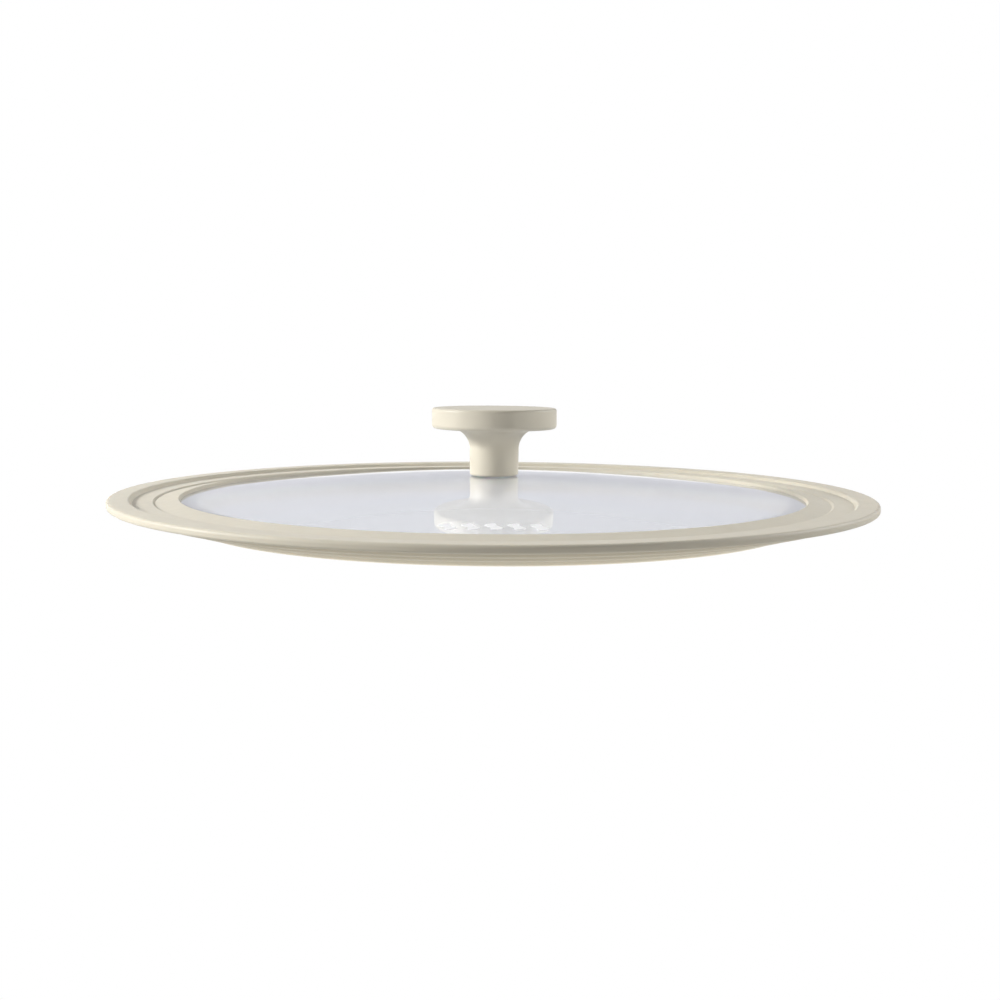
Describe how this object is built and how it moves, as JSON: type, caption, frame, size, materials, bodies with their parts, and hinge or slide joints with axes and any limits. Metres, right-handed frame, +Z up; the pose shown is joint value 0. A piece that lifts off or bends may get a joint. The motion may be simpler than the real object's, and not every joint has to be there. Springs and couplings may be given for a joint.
{
  "type": "universal pan lid",
  "caption": "Round domed glass lid in a cream silicone rim that steps in to fit pans of several sizes, with a waisted mushroom knob fastened by a screw through the glass.",
  "frame": {"origin": "centre of the circle that the skirt stands on, at the lid's lowest level", "axes": "+Z up along the lid's axis, out of the top of the knob. X and Y are free, because the lid is round"},
  "size_m": [0.3, 0.3, 0.045],
  "materials": {
    "cream_silicone": "matte, fine satin grain",
    "tempered_glass": "clear, polished",
    "cream_soft_touch": "soft-touch matte",
    "clear_silicone": "milky, translucent",
    "stainless_steel": "bright, lightly brushed",
    "brass": "machined",
    "white_print": "fired ceramic print on the glass"
  },
  "bodies": {
    "lid": {"silicone_rim": "cream_silicone", "glass_disc": "tempered_glass", "upper_gasket": "clear_silicone", "lower_gasket": "clear_silicone"},
    "knob": {"knob_body": "cream_soft_touch", "threaded_insert": "brass", "knob_screw": "stainless_steel", "lock_washer": "stainless_steel", "cup_washer": "stainless_steel"}
  },
  "joints": [
    {"name": "knob_turn", "type": "hinge", "parent": "lid", "child": "knob", "pos_m": [0, 0, 0.01785], "axis": [0, 0, 1], "continuous": true}
  ]
}
